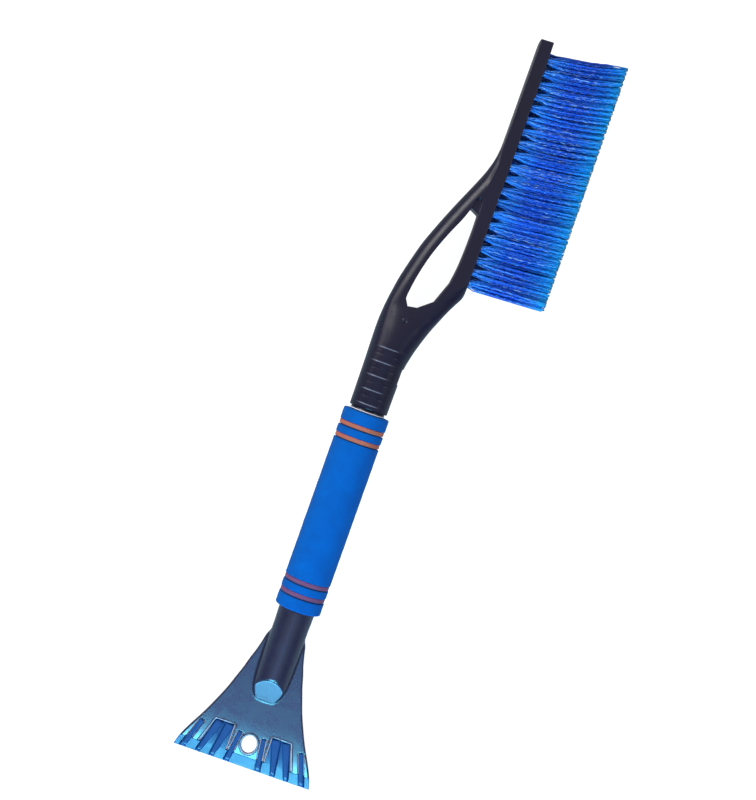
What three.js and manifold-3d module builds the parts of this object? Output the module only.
// Snow brush and ice scraper, 26 inch class: a short plastic tube with a foam grip, a brush head
// plugged on one end and a fan-shaped scraper head on the other, each held by a push-button latch.
// Millimetres, +Z up. The tool lies flat: tube axis along Y, brush end +Y, bristles towards +X,
// scraper front face up. It is drawn with the foam centre at Y=0 and the tube axis at X=0 Z=0.
import * as THREE from 'three'
import { mergeVertices } from 'three/addons/utils/BufferGeometryUtils.js'
import Module from 'manifold-3d'

// ---- dimensions shared by several pieces; R is a radius, Y a place along the tool ----
const CLEAR = 0.3 // air between pieces that sit in one another
const SEGMENTS = 36 // around every turned part
const TUBE_R = 12.4
const TUBE_IN_R = 10.1
const TUBE_TOP = 146
const TUBE_BOTTOM = -138.6
const BORE_R = TUBE_R + CLEAR // of everything that slides over the tube
const FOAM_HALF = 87
const COLLAR_TOP = 90
const SLEEVE_MOUTH = COLLAR_TOP + CLEAR // lower end of the brush sleeve
const SOCKET_MOUTH = -87.6 // upper end of the scraper socket
const UPPER_BUTTON_R = 14.9 // reach of each button from the tube axis
const LOWER_BUTTON_R = 14.2

const FINISH = {
  plastic: { color: 0x20212a, roughness: 0.5 },
  collar: { color: 0x20212a, roughness: 0.3 },
  seat: { color: 0x20212a, roughness: 0.55 },
  latch: { color: 0x20212a, roughness: 0.45 },
  foam: { color: 0x0068d8, roughness: 0.9 },
  band: { color: 0xd8703a, roughness: 0.85 },
  bristle: { color: 0x0a58d0, roughness: 0.6 },
  blade: { color: 0x1e7fc8, roughness: 0.35 },
}

const wasm = await Module()
wasm.setup()

// ---- solids ----
const solid = (geometry) => {
  geometry.deleteAttribute('normal')
  geometry.deleteAttribute('uv')
  const merged = mergeVertices(geometry, 1e-4)
  const index = merged.index.array
  const kept = [] // triangles that did not collapse in the merge
  for (let i = 0; i < index.length; i += 3) {
    const [a, b, c] = [index[i], index[i + 1], index[i + 2]]
    if (a !== b && b !== c && a !== c) kept.push(a, b, c)
  }
  return new wasm.Manifold(
    new wasm.Mesh({
      numProp: 3,
      vertProperties: new Float32Array(merged.attributes.position.array),
      triVerts: new Uint32Array(kept),
    }),
  )
}

const geometryOf = (part) => {
  const mesh = part.simplify(0.015).getMesh()
  const geometry = new THREE.BufferGeometry()
  const positions = new Float32Array(mesh.vertProperties)
  geometry.setAttribute('position', new THREE.BufferAttribute(positions, 3))
  geometry.setIndex(new THREE.BufferAttribute(new Uint32Array(mesh.triVerts), 1))
  geometry.computeVertexNormals()
  return geometry
}

const joined = (parts) => parts.reduce((whole, part) => whole.add(part))

const box = (x0, x1, y0, y1, z0, z1) =>
  new THREE.BoxGeometry(x1 - x0, y1 - y0, z1 - z0).translate(
    (x0 + x1) / 2,
    (y0 + y1) / 2,
    (z0 + z1) / 2,
  )

// cylinder about the tube axis
const rod = (radius, y0, y1, segments = SEGMENTS) =>
  new THREE.CylinderGeometry(radius, radius, y1 - y0, segments).translate(0, (y0 + y1) / 2, 0)

// turned ring about the tube axis: closed outline of [radius, y], counter-clockwise
const ring = (outline) =>
  new THREE.LatheGeometry(
    [...outline, outline[0]].map(([radius, y]) => new THREE.Vector2(radius, y)),
    SEGMENTS,
  )

const toVectors = (points) => points.map(([x, y]) => new THREE.Vector2(x, y))

const signedVolume = (positions, index) => {
  const corner = (i) => new THREE.Vector3().fromArray(positions, index[i] * 3)
  let total = 0
  for (let i = 0; i < index.length; i += 3)
    total += corner(i).dot(corner(i + 1).cross(corner(i + 2))) / 6
  return total
}

// closed skin through rings of equal point count; flat(point) gives the 2-D outline of the caps
const loft = (rings, flat) => {
  const count = rings[0].length
  const last = rings.length - 1
  const positions = rings.flat(2)
  const index = []
  for (let k = 0; k < last; k++)
    for (let i = 0; i < count; i++) {
      const j = (i + 1) % count
      const [a, b] = [k * count + i, k * count + j]
      const [c, d] = [a + count, b + count]
      index.push(a, b, d, a, d, c)
    }
  // the first cap winds against its ring's point order and the last one along it
  const addCap = (k, against) => {
    const outline = toVectors(rings[k].map(flat))
    const order = outline.map((_, i) => i)
    const clockwise = THREE.ShapeUtils.isClockWise(outline)
    if (clockwise) order.reverse()
    const faces = THREE.ShapeUtils.triangulateShape(order.map((i) => outline[i]), [])
    for (const face of faces) {
      const [a, b, c] = face.map((i) => k * count + order[i])
      if (against !== clockwise) index.push(a, c, b)
      else index.push(a, b, c)
    }
  }
  addCap(0, true)
  addCap(last, false)
  // turn the whole skin outwards
  if (signedVolume(positions, index) < 0)
    for (let i = 0; i < index.length; i += 3)
      [index[i + 1], index[i + 2]] = [index[i + 2], index[i + 1]]
  const geometry = new THREE.BufferGeometry()
  geometry.setAttribute('position', new THREE.BufferAttribute(new Float32Array(positions), 3))
  geometry.setIndex(index)
  return geometry
}
const flatXY = ([x, y]) => [x, y]
const flatXZ = ([x, , z]) => [x, z]
const flatYZ = ([, y, z]) => [y, z]
const atZ = (points, z) => points.map(([x, y]) => [x, y, z])

const spline = (points, count, closed = false) =>
  new THREE.CatmullRomCurve3(
    points.map(([x, y]) => new THREE.Vector3(x, y, 0)),
    closed,
    'centripetal',
  )
    .getSpacedPoints(count)
    .map((p) => [p.x, p.y])

const extrude = (points, z0, z1) =>
  new THREE.ExtrudeGeometry(new THREE.Shape(toVectors(points)), {
    depth: z1 - z0,
    bevelEnabled: false,
  }).translate(0, 0, z0)

// outline moved outwards by distance, or inwards where it is negative
const grown = (points, distance) => {
  const count = points.length
  const side = THREE.ShapeUtils.isClockWise(toVectors(points)) ? -1 : 1
  return points.map(([x, y], i) => {
    const before = points[(i + count - 1) % count]
    const after = points[(i + 1) % count]
    const alongX = after[0] - before[0]
    const alongY = after[1] - before[1]
    const length = Math.hypot(alongX, alongY) || 1
    return [x + (side * alongY * distance) / length, y - (side * alongX * distance) / length]
  })
}

// flat part with rounded long edges: the outline is drawn in towards both faces
const rounded = (points, z0, z1, radius, steps = 3) => {
  const low = [] // z, growth of the outline
  for (let k = steps; k >= 0; k--) {
    const angle = (k / steps) * (Math.PI / 2)
    low.push([z0 + radius * (1 - Math.sin(angle)), -radius * (1 - Math.cos(angle))])
  }
  const high = low.map(([z, growth]) => [z0 + z1 - z, growth]).reverse()
  return loft(
    [...low, ...high].map(([z, growth]) => atZ(growth === 0 ? points : grown(points, growth), z)),
    flatXY,
  )
}

// mirrored across X=0, keeping the winding
const mirrored = (points) => points.map(([x, y]) => [-x, y]).reverse()

// turns something drawn at the upper end facing +X into the lower end: along -Y, facing -Z
const lower = (geometry) =>
  geometry.applyMatrix4(
    new THREE.Matrix4().makeBasis(
      new THREE.Vector3(0, 0, -1), // +X goes to -Z
      new THREE.Vector3(0, -1, 0), // +Y goes to -Y
      new THREE.Vector3(-1, 0, 0), // +Z goes to -X
    ),
  )

// ---- latches, drawn at the upper end facing +X: round root low, button high ----
const LATCH_WIDTH = 8.8
const PIVOT_R = 9
const PIVOT_Y = 97
const ROOT_R = 2
const ARM_R = TUBE_R - 0.1 // outer face of the arm, just under the tube surface
const ARM_THICKNESS = 2
const BUTTON_LOW = 118.5
const BUTTON_HIGH = 127.8
const SLOT_HALF = LATCH_WIDTH / 2 + CLEAR // half width of the openings for the arm
const SLOT_LOW = PIVOT_Y - 2.4
const UPPER_SLOT_END = 135.8
const UPPER_CHANNEL_END = 136.2
const LOWER_OPEN_END = 160 // beyond the tube, so the slot and channel run out of its end
const SEAT_START = 90
const SEAT_SETBACK = 0.6 // seat end inside the tube end
const KEY_HALF = SLOT_HALF + 0.2
const KEY_END = 131
const KEY_WINDOW_START = 117.4

const latchRoot = (radius, width) =>
  solid(
    new THREE.CylinderGeometry(radius, radius, width, 24)
      .rotateX(Math.PI / 2)
      .translate(PIVOT_R, PIVOT_Y, 0),
  )

const latch = (buttonR) => {
  const blank = (points) => solid(extrude(points, -LATCH_WIDTH / 2, LATCH_WIDTH / 2))
  const within = (radius) => solid(rod(radius, 80, 140))
  const arm = blank([
    [PIVOT_R - 1.2, PIVOT_Y + 1.2],
    [PIVOT_R + 0.6, PIVOT_Y - 1.6],
    [ARM_R + 1, PIVOT_Y - 1.6],
    [ARM_R + 1, BUTTON_HIGH + 0.8],
    [ARM_R - ARM_THICKNESS, BUTTON_HIGH + 0.8],
    [ARM_R - ARM_THICKNESS, PIVOT_Y + 6],
  ]).intersect(within(ARM_R))
  const button = blank([
    [ARM_R - 1.2, BUTTON_LOW],
    [buttonR - 0.4, BUTTON_LOW],
    [buttonR + 0.6, BUTTON_LOW + 0.5],
    [buttonR + 0.6, BUTTON_HIGH - 3.4],
    [ARM_R - 0.2, BUTTON_HIGH],
    [ARM_R - 1.2, BUTTON_HIGH],
  ]).intersect(within(buttonR))
  return geometryOf(joined([arm, button, latchRoot(ROOT_R, LATCH_WIDTH)]))
}

// opening in the tube for the arm
const armSlot = (end) => box(6, 20, SLOT_LOW, end, -SLOT_HALF, SLOT_HALF)

// plug inside the tube that carries the latch root
const latchSeat = (end, channelEnd) => {
  const cut = (x0, y0) => solid(box(x0, 20, y0, channelEnd, -SLOT_HALF, SLOT_HALF))
  const seat = solid(rod(TUBE_IN_R - CLEAR, SEAT_START, end, 40))
    .subtract(cut(5.8, PIVOT_Y + 1.6)) // channel under the arm
    .subtract(cut(PIVOT_R - 0.2, SLOT_LOW)) // shelf
    .subtract(latchRoot(ROOT_R + CLEAR, 2 * SLOT_HALF)) // cradle
  return geometryOf(seat)
}

// keyway for the button from the mouth inwards, and the window it shows through
const cutKeyway = (part, buttonR, mouth, turn = (geometry) => geometry) => {
  const block = (x0, y0) => solid(turn(box(x0, 30, y0, KEY_END, -KEY_HALF, KEY_HALF)))
  const key = solid(turn(rod(buttonR + CLEAR, mouth - 5, KEY_END))).intersect(block(5, mouth - 4))
  return part.subtract(key).subtract(block(8, KEY_WINDOW_START))
}

// ---- handle ----
const FOAM_R = 19.75
const FOAM_CHAMFER = 1.2
const BAND_HALF = 4.6 / 2
const BAND_DEPTH = 1.3
const GROOVE_R = FOAM_R - BAND_DEPTH
const GROOVE_FLARE = 0.25
const BAND_Y = [FOAM_HALF - 13, FOAM_HALF - 24, -FOAM_HALF + 24, -FOAM_HALF + 13]
const COLLAR_R = 14.6
const COLLAR_CHAMFER = 0.5

const centreTube = () =>
  geometryOf(
    solid(rod(TUBE_R, TUBE_BOTTOM, TUBE_TOP))
      .subtract(solid(rod(TUBE_IN_R, TUBE_BOTTOM - 5, TUBE_TOP + 5)))
      .subtract(solid(armSlot(UPPER_SLOT_END)))
      .subtract(solid(lower(armSlot(LOWER_OPEN_END)))),
  )

const foamGrip = () => {
  const grooves = [...BAND_Y].reverse().flatMap((y) => [
    [FOAM_R, y - BAND_HALF - GROOVE_FLARE],
    [GROOVE_R, y - BAND_HALF],
    [GROOVE_R, y + BAND_HALF],
    [FOAM_R, y + BAND_HALF + GROOVE_FLARE],
  ])
  return ring([
    [BORE_R, -FOAM_HALF],
    [FOAM_R - FOAM_CHAMFER, -FOAM_HALF],
    [FOAM_R, -FOAM_HALF + FOAM_CHAMFER],
    ...grooves,
    [FOAM_R, FOAM_HALF - FOAM_CHAMFER],
    [FOAM_R - FOAM_CHAMFER, FOAM_HALF],
    [BORE_R, FOAM_HALF],
  ])
}

const gripBand = (y) => {
  const half = BAND_HALF - CLEAR
  const inner = GROOVE_R + CLEAR
  const outer = FOAM_R - 0.15
  return ring([[inner, y - half], [outer, y - half], [outer, y + half], [inner, y + half]])
}

const upperCollar = () => {
  const bottom = FOAM_HALF + CLEAR
  return ring([
    [BORE_R, bottom],
    [COLLAR_R - COLLAR_CHAMFER, bottom],
    [COLLAR_R, bottom + COLLAR_CHAMFER],
    [COLLAR_R, COLLAR_TOP - COLLAR_CHAMFER],
    [COLLAR_R - COLLAR_CHAMFER, COLLAR_TOP],
    [BORE_R, COLLAR_TOP],
  ])
}

// ---- brush frame: ribbed sleeve, wrist, open loop and bristle beam in one moulding ----
const SLEEVE_R0 = 16.2 // at the mouth
const SLEEVE_R1 = 17.0 // at the wrist
const SLEEVE_TAPER_END = 152
const SLEEVE_END = 158
const SLEEVE_RIBS = 5
const FIRST_RIB_Y = 96.4
const RIB_PITCH = 12.5
const RIB_HEIGHT = 0.8
const BEAM_BACK = 31.5 // X of the beam's -X side
const BEAM_FACE = 43.5 // X of its bristle side
const BEAM_TOP = 425
const BEAM_HALF = 13.5 // half depth in Z
const EDGE_R = 2.2 // rounding of the frame's long edges
const RANKS = 20
const RANK_Y0 = 216.3
const RANK_PITCH = 10.18
const ROW_STAGGER = RANK_PITCH / 2 // the middle row sits this much further up
const TUFT_ROW_Z = 8.2
const TUFT_R = 2.6
const TUFT_HOLE_R = TUFT_R + 0.5
const TUFT_HOLE_DEPTH = 8
const TUFT_SIDES = 7
const TIP_X = 107.5
const TIP_R_Y = 4.95
const TIP_R_Z = 6.0
const TIP_SPREAD = 2.2 // outer rows, outwards at the tips

// y, -X side, +X side, half depth, squareness: round at the sleeve, squarer at the loop
const WRIST = [
  [134, -16.8, 17.0, 16.9, 2],
  [141, -17.0, 18.7, 17.0, 2],
  [147, -17.1, 19.9, 17.0, 2],
  [153, -17.2, 21.6, 17.0, 2.05],
  [160, -17.3, 23.6, 16.6, 2.15],
  [167, -17.1, 26.0, 15.9, 2.3],
  [174, -16.6, 28.7, 15.2, 2.6],
  [181, -15.8, 32.0, 14.4, 3.2],
  [187, -15.1, 35.2, 13.8, 4],
  [192.5, -14.0, 37.6, 13.3, 5],
]
const WRIST_SEGMENTS = 32

// x, y from the beam's bristle face down into the wrist
const HEEL = [
  [BEAM_FACE, 210], [BEAM_FACE - 0.6, 203.5], [40.6, 196.5], [37, 189.8], [34.3, 185.2],
]

// x, y up the -X side of the loop to the beam
const LOOP_BACK = [
  [-15.3, 186], [-13.0, 200.4], [-10.4, 212], [-7.6, 223], [-4.2, 235],
  [0.1, 246.8], [5.0, 259.3], [10.2, 271.7], [15.6, 284], [21.2, 296.5],
  [26.4, 309.3], [29.7, 320.8], [31.2, 332], [BEAM_BACK, 345],
]

// x, y around the finger opening
const OPENING = [
  [29.4, 284.6], [24.9, 276], [16.2, 254.5], [10.4, 240.2], [5.5, 225.7], [2.2, 212.6],
  [0.1, 201.5], [-1.5, 189.5], [2.0, 182.2], [9.6, 183.5], [21.4, 192.9], [28.5, 212.2],
  [30.3, 224.7], [31.2, 237.5], [31.4, 252], [31.3, 270], [31.0, 281.4],
]

// z, growth of the opening: rolled edges on both faces
const OPENING_LEVELS = [
  [-BEAM_HALF - 4, 3.4], [-BEAM_HALF + 0.1, 1.9], [-BEAM_HALF + 1.4, 0.7], [-BEAM_HALF + 3.2, 0],
  [BEAM_HALF - 3.2, 0], [BEAM_HALF - 1.4, 0.7], [BEAM_HALF - 0.1, 1.9], [BEAM_HALF + 4, 3.4],
]

const sleeve = () => {
  const taper = (SLEEVE_R1 - SLEEVE_R0) / (SLEEVE_TAPER_END - SLEEVE_MOUTH)
  const inner = BORE_R - 3
  const profile = [
    [inner, SLEEVE_MOUTH],
    [SLEEVE_R0 - 0.6, SLEEVE_MOUTH],
    [SLEEVE_R0, SLEEVE_MOUTH + 0.6],
  ]
  for (let k = 0; k < SLEEVE_RIBS; k++) {
    const y = FIRST_RIB_Y + k * RIB_PITCH
    const r = SLEEVE_R0 + taper * (y - SLEEVE_MOUTH)
    profile.push([r, y - 2.6], [r + RIB_HEIGHT, y - 0.8], [r + RIB_HEIGHT, y + 0.8], [r, y + 2.6])
  }
  profile.push([SLEEVE_R1, SLEEVE_END - 5], [SLEEVE_R1 - 2, SLEEVE_END], [inner, SLEEVE_END])
  return solid(ring(profile)).add(solid(rod(BORE_R - 1, SLEEVE_MOUTH, SLEEVE_END)))
}

// loft through superellipse sections
const wrist = () => {
  const sections = WRIST.map(([y, x0, x1, depth, power]) =>
    Array.from({ length: WRIST_SEGMENTS }, (_, i) => {
      const angle = (i / WRIST_SEGMENTS) * 2 * Math.PI
      const cos = Math.cos(angle)
      const sin = Math.sin(angle)
      const reach = (Math.abs(cos) ** power + Math.abs(sin) ** power) ** (-1 / power)
      return [(x0 + x1) / 2 + ((x1 - x0) / 2) * cos * reach, y, depth * sin * reach]
    }),
  )
  return solid(loft(sections, flatXZ))
}

const loopAndBeam = () => {
  const outline = [
    ...spline(LOOP_BACK, 20),
    [BEAM_BACK, BEAM_TOP - 3],
    [BEAM_BACK + 0.9, BEAM_TOP - 0.9],
    [BEAM_BACK + 3, BEAM_TOP],
    [BEAM_FACE - 3, BEAM_TOP],
    [BEAM_FACE - 0.9, BEAM_TOP - 0.9],
    [BEAM_FACE, BEAM_TOP - 3],
    ...spline(HEEL, 9),
  ].reverse()
  return solid(rounded(outline, -BEAM_HALF, BEAM_HALF, EDGE_R))
}

const fingerOpening = () => {
  const outline = spline(OPENING, 40, true)
  outline.pop() // the closed spline repeats its first point
  const levels = OPENING_LEVELS.map(([z, growth]) => atZ(grown(outline, growth), z))
  // a web stays across the top of the opening, so that end is a blind pocket on both faces
  const web = solid(box(18, 36, 274.4, 292, -10.5, 10.5))
  return solid(loft(levels, flatXY)).subtract(web)
}

const tuftHole = (y, z) =>
  solid(
    new THREE.CylinderGeometry(TUFT_HOLE_R, TUFT_HOLE_R, TUFT_HOLE_DEPTH + 4, 8)
      .rotateZ(Math.PI / 2)
      .translate(BEAM_FACE - TUFT_HOLE_DEPTH / 2 + 2, y, z),
  )

const brushFrame = () => {
  let frame = joined([sleeve(), wrist(), loopAndBeam()])
    .subtract(fingerOpening())
    .subtract(solid(rod(BORE_R, SLEEVE_MOUTH - 5, TUBE_TOP + 1.5)))
  frame = cutKeyway(frame, UPPER_BUTTON_R, SLEEVE_MOUTH)
  for (let i = 0; i < RANKS; i++)
    for (const row of [-1, 0, 1]) {
      const y = RANK_Y0 + i * RANK_PITCH + (row === 0 ? ROW_STAGGER : 0)
      frame = frame.subtract(tuftHole(y, row * TUFT_ROW_Z))
    }
  return geometryOf(frame)
}

// rank of three bundles that lean towards +Y, spread and run together towards the tips
const bristleRank = (i) => {
  const along = i / (RANKS - 1)
  const rankY = RANK_Y0 + i * RANK_PITCH
  const lean = 3.4 + 7.9 * along
  const tipX = TIP_X + 2 * (1 - along)
  const section = (x, y, z, radiusY, radiusZ) =>
    Array.from({ length: TUFT_SIDES }, (_, k) => {
      const angle = (k / TUFT_SIDES) * 2 * Math.PI + Math.PI / 2
      return [x, y + radiusY * Math.cos(angle), z + radiusZ * Math.sin(angle)]
    })
  const bundle = (row) => {
    const rootY = rankY + (row === 0 ? ROW_STAGGER : 0)
    const rootZ = row * TUFT_ROW_Z
    const tipZ = row * (TUFT_ROW_Z + TIP_SPREAD)
    const sections = [
      section(BEAM_FACE - TUFT_HOLE_DEPTH + CLEAR, rootY, rootZ, TUFT_R, TUFT_R),
      section(BEAM_FACE + 1, rootY, rootZ, TUFT_R, TUFT_R),
      section(tipX, rankY + lean, tipZ, TIP_R_Y, TIP_R_Z),
    ]
    return solid(loft(sections, flatYZ))
  }
  return geometryOf(joined([-1, 0, 1].map(bundle)))
}

// ---- scraper head: black fan plate with a socket, blue blade insert with eight ice ribs ----
// plate frame: x across, y = -distance below the socket mouth, z = 0 on the front face
const SOCKET_R = 15.4
const SOCKET_BORE_DEPTH = 52.2
const BOSS_LENGTH = 90
const PLATE_T = 4.2
const PLATE_SLOPE = 0.07 // radians
const PLATE_START = 24
const PLATE_FRONT_Z = -2.6
const SCRAPER_LENGTH = 146.8
const EDGE_HALF_WIDTH = 61.2
const STRIP = 7.6 // height of the blue edge strip
const PLATE_END = SCRAPER_LENGTH - STRIP
const HANGING_HOLE = { y: -125.5, radiusX: 6.6, radiusY: 8.2, segments: 36 }
const RIB_FRONT = 0.9
const INSERT_BACK = -PLATE_T + 0.2
const FLOOR_FRONT = -PLATE_T + 1.6
const FLOOR_END = PLATE_END + 2

// distance below the mouth, half width
const HALF_WIDTHS = [
  [24, 14.6], [29, 17.1], [37, 19.0], [46, 21.3], [54, 23.9], [63, 26.4], [75, 30.4], [84.6, 33.7],
  [95, 38], [108, 43.8], [115, 47.3], [121, 50.5], [127.4, 53.8], [133.7, 56.8], [139.2, 59.0],
  [SCRAPER_LENGTH, EDGE_HALF_WIDTH],
]

// x, y from the mouth, down the +X half of the socket's outline
const SOCKET_NOSE = [
  [15.6, 5], [15.6, -60], [14.7, -66], [13.5, -71], [12.1, -76], [10.2, -81], [7.6, -85.2],
  [4.6, -88], [1.5, -89],
]

// opening behind the paired ribs: x at its top and bottom on each side
const WINDOW_TOP = 113
const WINDOW_BOTTOM = 160
const WINDOW_INNER = [16.4, 17.2]
const WINDOW_OUTER = [33.4, 48.6]
const WINDOW = [
  [WINDOW_INNER[0], -WINDOW_TOP],
  [WINDOW_INNER[1], -WINDOW_BOTTOM],
  [WINDOW_OUTER[1], -WINDOW_BOTTOM],
  [WINDOW_OUTER[0], -WINDOW_TOP],
]

// x at the root and near the edge, distance of the root, half width at the root and at the edge;
// the two middle ribs are a tapered pair, the single ones are parallel
const ICE_RIBS = [
  [10.4, 13.9, 116.5, 2.2, 2.2],
  [20.9, 27.2, 113.6, 3.7, 1.75],
  [29.8, 39.2, 113.6, 3.3, 1.75],
  [44.6, 53.0, 117.5, 2.2, 2.2],
]

const placed = (geometry) =>
  solid(
    geometry
      .translate(0, PLATE_START, 0)
      .rotateX(PLATE_SLOPE)
      .translate(0, SOCKET_MOUTH - PLATE_START, PLATE_FRONT_Z),
  )

const onSide = (points, side) => (side > 0 ? points : mirrored(points))

// block with a y, z profile across the whole plate
const crossBlock = (halfWidth, profile) =>
  placed(loft([-halfWidth, halfWidth].map((x) => profile.map(([y, z]) => [x, y, z])), flatYZ))

const halfWidthAt = (distance) => {
  const i = HALF_WIDTHS.findIndex(([end], n) => n > 0 && distance <= end)
  const [d0, w0] = HALF_WIDTHS[i - 1]
  const [d1, w1] = HALF_WIDTHS[i]
  return w0 + ((w1 - w0) * (distance - d0)) / (d1 - d0)
}

// outline of a rib, or with a clearance the slot for it, which runs out past the edge
const ribOutline = ([rootX, edgeX, root, rootHalf, edgeHalf], clearance) => {
  const slope = (edgeX - rootX) / (SCRAPER_LENGTH - 3 - root)
  const length = Math.hypot(1, slope)
  const top = root - clearance
  const bottom = clearance > 0 ? 170 : SCRAPER_LENGTH - 0.4
  const topX = rootX - slope * clearance
  const bottomX = rootX + slope * (bottom - root)
  const topHalf = (rootHalf + clearance) / length
  const bottomHalf = (edgeHalf + clearance) / length
  return [
    [topX - topHalf, -top - topHalf * slope],
    [bottomX - bottomHalf, -bottom - bottomHalf * slope],
    [bottomX + bottomHalf, -bottom + bottomHalf * slope],
    [topX + topHalf, -top + topHalf * slope],
  ]
}

const fanPlate = () => {
  const right = HALF_WIDTHS.filter(([d]) => d < PLATE_END - 1).map(([d, width]) => [width, -d])
  right.push([halfWidthAt(PLATE_END), -PLATE_END])
  return placed(rounded([...right, ...mirrored(right)].reverse(), -PLATE_T, 0, 0.8, 2))
}

const socketBoss = () => {
  // sloping cut that starts at the socket surface, on the front (1) or the back (-1)
  const slopeCut = (side, start, rise, run) =>
    solid(
      new THREE.BoxGeometry(80, 60, 60)
        .translate(0, -30, side * 30)
        .rotateX(side * Math.atan2(rise, run))
        .translate(0, SOCKET_MOUTH - start, side * (SOCKET_R + 0.2)),
    )
  const nose = [...SOCKET_NOSE, ...mirrored(SOCKET_NOSE)].map(([x, y]) => [x, y + SOCKET_MOUTH])
  return solid(rod(SOCKET_R, SOCKET_MOUTH - BOSS_LENGTH, SOCKET_MOUTH))
    .subtract(slopeCut(1, 60.5, SOCKET_R - PLATE_FRONT_Z + 2.5, 25)) // runs down into the plate
    .subtract(slopeCut(-1, 57, 8.6, 24)) // fades out behind the plate
    .intersect(solid(extrude(nose, -20, 20)))
}

const hangingHole = () => {
  const { y, radiusX, radiusY, segments } = HANGING_HOLE
  const outline = Array.from({ length: segments }, (_, i) => {
    const angle = (i / segments) * 2 * Math.PI
    return [radiusX * Math.cos(angle), y + radiusY * Math.sin(angle)]
  })
  return placed(extrude(outline, -12, 6))
}

const scraperBody = () => {
  const boreEnd = SOCKET_MOUTH - SOCKET_BORE_DEPTH
  let body = fanPlate()
    .add(socketBoss())
    .subtract(solid(rod(BORE_R, boreEnd, SOCKET_MOUTH + 5)))
  body = cutKeyway(body, LOWER_BUTTON_R, -SOCKET_MOUTH, lower)
  // the front face is planed down towards the edge
  const plane = [[-118, 0.001], [-118, 12], [-152, 12], [-152, -3.2], [-PLATE_END, -2.3]]
  body = body.subtract(crossBlock(70, plane)).subtract(hangingHole())
  for (const side of [1, -1])
    for (const cut of [WINDOW, ...ICE_RIBS.map((rib) => ribOutline(rib, CLEAR))])
      body = body.subtract(placed(extrude(onSide(cut, side), -12, 6)))
  return geometryOf(body)
}

// edge strip, the floors that fill the windows, and the ribs
const scraperBlade = () => {
  const stripTop = PLATE_END + CLEAR
  const stripHalf = halfWidthAt(stripTop) + 0.1
  const strip = [
    [-stripHalf, -stripTop],
    [-EDGE_HALF_WIDTH, -SCRAPER_LENGTH],
    [EDGE_HALF_WIDTH, -SCRAPER_LENGTH],
    [stripHalf, -stripTop],
  ]
  const inset = grown(WINDOW, -CLEAR - 0.05)
  const outerSlope = (WINDOW_OUTER[1] - WINDOW_OUTER[0]) / (WINDOW_BOTTOM - WINDOW_TOP)
  const floor = [
    inset[0],
    [WINDOW_INNER[1] + 0.36, -FLOOR_END],
    [WINDOW_OUTER[0] + outerSlope * (FLOOR_END - WINDOW_TOP) - 0.4, -FLOOR_END],
    inset[3],
  ]
  let blade = placed(extrude(strip, -PLATE_T, -0.4))
  const ribs = []
  for (const side of [1, -1]) {
    blade = blade.add(placed(extrude(onSide(floor, side), INSERT_BACK, FLOOR_FRONT)))
    for (const rib of ICE_RIBS) {
      const part = placed(extrude(onSide(ribOutline(rib, 0), side), INSERT_BACK, RIB_FRONT))
      ribs.push(part)
      blade = blade.add(part)
    }
  }
  // the front of the strip is planed to the scraping edge
  const bevelStart = -PLATE_END + 0.5
  const bevel = crossBlock(80, [
    [bevelStart, -2.249],
    [bevelStart, 14],
    [-170, 14],
    [-170, -5.2],
    [-SCRAPER_LENGTH, -3.1],
  ])
  // the ribs keep standing over the planed strip, with a slope of their own
  const ribLead = crossBlock(80, [[-132, RIB_FRONT + 0.002], [-132, 14], [-170, 14], [-170, -3.3]])
  return geometryOf(blade.subtract(bevel).add(joined(ribs).subtract(ribLead)))
}

// ---- all pieces: name, geometry, finish ----
const rankName = (i) => `bristle_rank_${String(i + 1).padStart(2, '0')}`
const pieces = [
  ['centre_tube', centreTube(), FINISH.plastic],
  ['foam_grip', foamGrip(), FINISH.foam],
  ...BAND_Y.map((y, i) => [`grip_band_${i + 1}`, gripBand(y), FINISH.band]),
  ['upper_collar', upperCollar(), FINISH.collar],
  ['upper_latch_seat', latchSeat(TUBE_TOP - SEAT_SETBACK, UPPER_CHANNEL_END), FINISH.seat],
  ['lower_latch_seat', lower(latchSeat(-TUBE_BOTTOM - SEAT_SETBACK, LOWER_OPEN_END)), FINISH.seat],
  ['upper_latch', latch(UPPER_BUTTON_R), FINISH.latch],
  ['lower_latch', lower(latch(LOWER_BUTTON_R)), FINISH.latch],
  ['brush_frame', brushFrame(), FINISH.plastic],
  ...Array.from({ length: RANKS }, (_, i) => [rankName(i), bristleRank(i), FINISH.bristle]),
  ['scraper_body', scraperBody(), FINISH.plastic],
  ['scraper_blade', scraperBlade(), FINISH.blade],
]

// ---- put the footprint's centre at the origin and the lowest point at Z=0 ----
const bounds = new THREE.Box3()
for (const [, geometry] of pieces) {
  geometry.computeBoundingBox()
  bounds.union(geometry.boundingBox)
}
const centre = bounds.getCenter(new THREE.Vector3())
const shift = [-centre.x, -centre.y, -bounds.min.z]

const group = new THREE.Group()
group.name = 'snow_brush_scraper'
group.userData.shift = shift
for (const [name, geometry, finish] of pieces) {
  const mesh = new THREE.Mesh(
    geometry.translate(...shift),
    new THREE.MeshStandardMaterial(finish),
  )
  mesh.name = name
  group.add(mesh)
}

export default group
